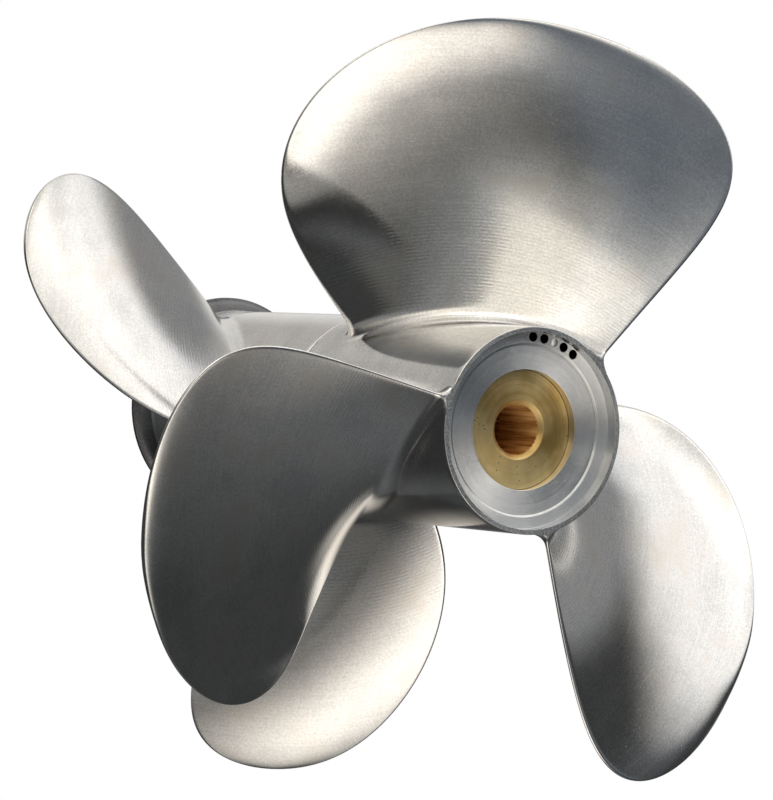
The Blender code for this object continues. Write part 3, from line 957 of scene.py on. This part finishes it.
class Metal:
    """A Principled material, with its own coordinates and short ways to add marks."""

    def __init__(self, name, **numbers):
        self.material = bpy.data.materials.new(name)
        self.material.use_nodes = True
        self.tree = self.material.node_tree
        self.shader = self.tree.nodes["Principled BSDF"]
        self.shader.inputs["Metallic"].default_value = 1.0
        for socket, value in numbers.items():
            self.shader.inputs[socket.replace("_", " ")].default_value = value
        self.place = add_node(self.tree, "TexCoord", {}).outputs["Object"]

    def marks(self, group, **numbers):
        """Place a node group of marks, with its own values, and return its outputs."""
        node = self.tree.nodes.new("ShaderNodeGroup")
        node.node_tree = group
        self.tree.links.new(self.place, node.inputs["Place"])
        for socket, value in numbers.items():
            node.inputs[socket.replace("_", " ")].default_value = value
        return node.outputs

    def math(self, operation, first, second=0.0):
        """One Math node in this material."""
        return math_node(self.tree, operation, first, second)

    def ramp(self, value, low, high, start=0.0, end=1.0):
        """One smooth change of a value in this material."""
        return ramp(self.tree, value, low, high, start, end)

    def total(self, base, *terms):
        """A number plus several sockets, each times its own weight."""
        result = base
        for socket, weight in terms:
            result = self.math("ADD", self.math("MULTIPLY", socket, weight), result)
        return result

    def blend(self, share, first, second):
        """Mix two colours, or a colour and a socket, by a share."""
        first, second = (
            c if isinstance(c, bpy.types.NodeSocket) else (*c, 1.0) for c in (first, second)
        )
        node = add_node(self.tree, "Mix", {0: share, 6: first, 7: second}, data_type="RGBA")
        return node.outputs[2]

    def shades(self, tone, dark, light, tone_range=TONE_RANGE):
        """Shade from a dark to a light colour as a tone rises."""
        return self.blend(self.ramp(tone, *tone_range), dark, light)

    def finish(self, colour, roughness, height, depth):
        """Link colour, roughness and relief, whose full height is a depth in metres."""
        self.tree.links.new(colour, self.shader.inputs["Base Color"])
        self.tree.links.new(roughness, self.shader.inputs["Roughness"])
        bump = add_node(self.tree, "Bump", {"Height": height, "Distance": depth, "Strength": 1.0})
        self.tree.links.new(bump.outputs[0], self.shader.inputs["Normal"])
        return self.material

    def lathe_lay(self):
        """Let highlights spread outwards from the shaft, across the marks of the lathe."""
        outward = add_node(
            self.tree, "VectorMath", {0: self.place, 1: ACROSS_SHAFT}, operation="MULTIPLY"
        )
        unit = add_node(self.tree, "VectorMath", {0: outward.outputs[0]}, operation="NORMALIZE")
        self.tree.links.new(unit.outputs[0], self.shader.inputs["Tangent"])


# %% [markdown]
# ## Polished blades
# The blades were milled in arcs round the shaft and then belt-polished, more towards the tips than
# at the roots, where the cutter's arcs still show. One gloss value would look like chrome; here
# strokes, clouds and grain shift both gloss and relief a little.

# %% Polished blade steel
ARC_RADII = (0.060, 0.070, 0.100, 0.135)
POLISHED_TONES = (0.38, 0.62)
STAIN_COLOUR = (0.60, 0.55, 0.50)
STAIN_RANGE = (0.50, 0.72)
STAIN_STRENGTH = 0.55
SCRATCH_RANGE = (0.64, 0.74)
SCRATCH_ROUGHNESS = 0.05
POLISHED_GLOSS = 0.08
POLISHED_RELIEF = 0.000012


def polished_steel(name, dark, light):
    """Satin-polished casting, with brown stains, and cutter arcs towards the blade roots."""
    metal = Metal(name)
    stroke = metal.marks(strokes)
    speck = metal.marks(grain)
    ridge = metal.marks(arcs)["Ridge"]
    radius = shaft_radius(metal.tree, metal.place)
    near_root = metal.math(
        "MULTIPLY",
        metal.ramp(radius, ARC_RADII[0], ARC_RADII[1]),
        metal.ramp(radius, ARC_RADII[2], ARC_RADII[3], 1.0, 0.0),
    )
    arc = metal.math("MULTIPLY", ridge, near_root)
    tone = metal.total(
        0.0, (speck["Cloud"], 0.35), (speck["Grain"], 0.45), (stroke["Stroke"], 0.2), (arc, 0.06)
    )
    colour = metal.shades(tone, dark, light, POLISHED_TONES)
    stain = metal.ramp(speck["Cloud"], *STAIN_RANGE, 0.0, STAIN_STRENGTH)
    colour = metal.blend(stain, colour, STAIN_COLOUR)
    scratch = metal.ramp(stroke["Stroke"], *SCRATCH_RANGE, 0.0, SCRATCH_ROUGHNESS)
    roughness = metal.total(
        POLISHED_GLOSS, (speck["Cloud"], 0.05), (speck["Grain"], 0.05), (scratch, 1.0)
    )
    height = metal.total(
        0.0, (stroke["Stroke"], 0.30), (speck["Grain"], 0.4), (arc, 0.8), (speck["Pit"], -1.5)
    )
    return metal.finish(colour, roughness, height, POLISHED_RELIEF)


forward_steel = polished_steel(
    "forward_polished_steel", dark=(0.56, 0.56, 0.56), light=(0.76, 0.755, 0.745)
)
aft_steel = polished_steel(
    "aft_polished_steel", dark=(0.58, 0.575, 0.57), light=(0.76, 0.75, 0.74)
)

# %% [markdown]
# ## Machined ends
# The end face is turned, so its marks are rings, and light falling on rings makes the bright and
# dark fans that turn with the viewer. Fans painted on would stay put when the part turns. Here the
# relief holds fine grooves, and the shader's anisotropy spreads highlights outwards from the shaft,
# across the rings, so the fans follow the light.

# %% Turned seat
GROOVE_PITCH = 0.0005
GROOVE_SLOPE = 0.29
GROOVE_DEPTH = 0.000012
SEAT_SHADES = ((0.62, 0.63, 0.64), (0.80, 0.81, 0.82))
SEAT_PIT_COLOUR = (0.10, 0.10, 0.10)
SEAT_ROUGHNESS = 0.17


def turned_steel(name):
    """Fine-turned steel of the ledge, the seat and their walls."""
    metal = Metal(name, Anisotropic=1.0)
    metal.lathe_lay()
    stroke = metal.marks(strokes, Across=2600.0, Along=8.0)
    speck = metal.marks(grain, Pit_Scale=900.0, Pit_Rarity=0.40)
    tone = metal.total(0.0, (speck["Cloud"], 0.6), (stroke["Stroke"], 0.4))
    colour = metal.blend(speck["Pit"], metal.shades(tone, *SEAT_SHADES), SEAT_PIT_COLOUR)
    roughness = metal.total(SEAT_ROUGHNESS, (stroke["Stroke"], 0.06), (speck["Pit"], 0.3))
    groove = metal.math("PINGPONG", shaft_radius(metal.tree, metal.place), GROOVE_PITCH / 2)
    height = metal.total(
        0.0, (groove, GROOVE_SLOPE / GROOVE_DEPTH), (stroke["Stroke"], 0.2), (speck["Pit"], -1.0)
    )
    return metal.finish(colour, roughness, height, GROOVE_DEPTH)


# %% Ground rim
RIM_SHADES = ((0.36, 0.37, 0.38), (0.86, 0.87, 0.88))
RIM_PIT_COLOUR = (0.05, 0.05, 0.05)
RIM_ROUGHNESS = 0.30
RIM_RELIEF = 0.000030


def ground_steel(name):
    """Blunt grey rim, ground and then knocked about, with pits and bright nicks."""
    metal = Metal(name)
    speck = metal.marks(grain, Pit_Scale=650.0, Pit_Rarity=0.40)
    stroke = metal.marks(strokes, Across=900.0, Along=90.0)
    tone = metal.total(0.0, (speck["Cloud"], 0.4), (speck["Grain"], 0.6))
    colour = metal.blend(speck["Pit"], metal.shades(tone, *RIM_SHADES), RIM_PIT_COLOUR)
    roughness = metal.total(RIM_ROUGHNESS, (speck["Grain"], 0.25))
    height = metal.total(0.0, (speck["Grain"], 1.0), (stroke["Stroke"], 0.5), (speck["Pit"], -2.0))
    return metal.finish(colour, roughness, height, RIM_RELIEF)


# %% Drilled holes, painted dark as shade, and the dark flared ring
# The hole wall is painted near black: painted shade where light falls off inside the hole.
HOLE_PAINTED_SHADE = ((0.006, 0.006, 0.006), (0.020, 0.019, 0.018))
HOLE_ROUGHNESS = 0.5
HOLE_RELIEF = 0.000030


def painted_shade_steel(name):
    """Wall of a drilled hole, painted near black as the shade inside it."""
    metal = Metal(name)
    speck = metal.marks(grain)
    colour = metal.blend(speck["Grain"], *HOLE_PAINTED_SHADE)
    roughness = metal.total(HOLE_ROUGHNESS, (speck["Cloud"], 0.2))
    return metal.finish(colour, roughness, speck["Grain"], HOLE_RELIEF)


FLARE_SHADES = ((0.13, 0.13, 0.14), (0.22, 0.22, 0.23))
FLARE_ROUGHNESS = 0.36
FLARE_RELIEF = 0.000020


def dark_ring_steel(name):
    """Dark, rough steel of the flared ring, darker than the polished casting."""
    metal = Metal(name)
    speck = metal.marks(grain, Grain_Scale=800.0)
    tone = metal.total(0.0, (speck["Cloud"], 0.6), (speck["Grain"], 0.4))
    colour = metal.shades(tone, *FLARE_SHADES)
    roughness = metal.total(FLARE_ROUGHNESS, (speck["Cloud"], 0.12), (speck["Grain"], 0.06))
    height = metal.total(0.0, (speck["Grain"], 1.0), (speck["Pit"], -1.5))
    return metal.finish(colour, roughness, height, FLARE_RELIEF)


seat_steel = turned_steel("turned_seat_steel")
rim_steel = ground_steel("ground_rim_steel")
hole_painted_shade = painted_shade_steel("drilled_hole_painted_shade")
flare_steel = dark_ring_steel("dark_flare_steel")

# %% [markdown]
# ## Brass
# The bush face is turned brass, scratched where its washer ran. Its bore is darker, because oil
# and wear stain it brown and the splines draw fine lines along it.

# %% Brass
FACE_SHADES = ((0.60, 0.38, 0.12), (1.0, 0.78, 0.38))
FACE_PIT_COLOUR = (0.25, 0.15, 0.05)
FACE_ROUGHNESS = 0.28
FACE_RELIEF = 0.000012
STREAK_SCALE = (420.0, 16.0, 420.0)
BORE_SHADES = ((0.50, 0.22, 0.05), (1.0, 0.66, 0.26))
BORE_TONES = (0.42, 0.70)
BORE_ROUGHNESS = 0.40
BORE_RELIEF = 0.000025


def turned_brass(name):
    """Turned face of a bush."""
    metal = Metal(name, Anisotropic=0.85)
    metal.lathe_lay()
    stroke = metal.marks(strokes, Across=2200.0, Along=30.0)
    speck = metal.marks(grain)
    tone = metal.total(0.0, (speck["Cloud"], 0.8), (stroke["Stroke"], 0.2))
    colour = metal.blend(speck["Pit"], metal.shades(tone, *FACE_SHADES), FACE_PIT_COLOUR)
    roughness = metal.total(FACE_ROUGHNESS, (stroke["Stroke"], 0.10), (speck["Cloud"], 0.08))
    height = metal.total(0.0, (stroke["Stroke"], 1.0), (speck["Grain"], 0.4), (speck["Pit"], -1.5))
    return metal.finish(colour, roughness, height, FACE_RELIEF)


def bored_brass(name):
    """Oil-stained bore of a bush, with streaks along the shaft."""
    metal = Metal(name, Metallic=0.45)
    speck = metal.marks(grain)
    lengthwise = add_node(metal.tree, "Mapping", {0: metal.place, "Scale": STREAK_SCALE})
    streak = noise(metal.tree, lengthwise.outputs[0], 1.0, 2.0, 0.6)
    tone = metal.total(0.0, (streak, 0.8), (speck["Cloud"], 0.3))
    colour = metal.shades(tone, *BORE_SHADES, BORE_TONES)
    roughness = metal.total(BORE_ROUGHNESS, (streak, 0.25))
    height = metal.total(0.0, (streak, 1.0), (speck["Grain"], 0.4))
    return metal.finish(colour, roughness, height, BORE_RELIEF)


face_brass = turned_brass("turned_face_brass")
bore_brass = bored_brass("stained_bore_brass")


# %% Put each finish on its faces
HOLE_MARGIN = 0.0001
FLARE_MARGIN = 0.001
BORE_REACH = 0.0175
FACING_SHAFT = 0.5


def paint(piece, material, rule=None):
    """Give a piece a material, on all of it or only on the faces that satisfy a rule."""
    piece.data.materials.append(material)
    if rule is None:
        return
    take(piece)
    bpy.ops.object.mode_set(mode="EDIT")
    pick_faces(piece, rule)
    piece.active_material_index = len(piece.data.materials) - 1
    bpy.ops.object.material_slot_assign()
    bpy.ops.object.mode_set(mode="OBJECT")


def from_shaft(place):
    """Distance of a place from the shaft axis."""
    return math.hypot(place.x, place.z)


def in_recess(centre, normal):
    """Rule for what lies nearer the shaft than a hub's rim: its end faces, recess and bore.

    It also takes in the narrowest 21 mm of the aft hub's skin, from Y = 0.285 to 0.306.
    """
    return from_shaft(centre) < RIM_INNER_RADIUS + MACHINED_ROUND / 2


def on_end(face_y, inward):
    """Rule for the flat faces that lie in a hub's end plane."""
    return lambda centre, normal: (
        abs(centre.y - face_y) < MACHINED_ROUND and normal.y * inward < -SQUARE_ON
    )


def on_flare(centre, normal):
    """Rule for the outside of the flared ring at the aft hub's end."""
    return centre.y > WAIST_Y - FLARE_MARGIN and from_shaft(centre) > WAIST_RADIUS - FLARE_MARGIN


def in_balance_hole(centre, normal):
    """Rule for the faces inside the drilled balance holes."""
    depth = centre.y - LEDGE_DEPTH
    if depth < HOLE_MARGIN or depth > BALANCE_HOLE_DEPTH + HOLE_MARGIN:
        return False
    reach = BALANCE_HOLE_RADIUS + HOLE_MARGIN
    return any(
        (on_circle(BALANCE_CIRCLE, angle_deg, centre.y) - centre).length < reach
        for angle_deg in BALANCE_ANGLES_DEG
    )


def in_bore(centre, normal):
    """Rule for the inside of a bush, behind its chamfered mouth."""
    return from_shaft(centre) < BORE_REACH and abs(normal.y) < FACING_SHAFT


paint(forward_hub, forward_steel)
paint(forward_hub, seat_steel, in_recess)
paint(forward_hub, rim_steel, on_end(0.0, 1.0))
paint(forward_hub, hole_painted_shade, in_balance_hole)
paint(aft_hub, aft_steel)
paint(aft_hub, flare_steel, on_flare)
paint(aft_hub, seat_steel, in_recess)
paint(aft_hub, rim_steel, on_end(AFT_END, -1.0))
for bush in (forward_bush, aft_bush):
    paint(bush, face_brass)
    paint(bush, bore_brass, in_bore)
paint(plug, seat_steel)
for piece in pieces:
    print(piece.name, "wears", [material.name for material in piece.data.materials])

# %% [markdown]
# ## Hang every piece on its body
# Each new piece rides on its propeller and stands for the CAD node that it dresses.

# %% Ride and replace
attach(forward_hub, "forward_propeller")
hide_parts("forward_casting")
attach(plug, "forward_propeller")
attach(forward_bush, "forward_propeller")
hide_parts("forward_bush")
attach(aft_hub, "aft_propeller")
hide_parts("aft_casting")
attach(aft_bush, "aft_propeller")
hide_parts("aft_bush")
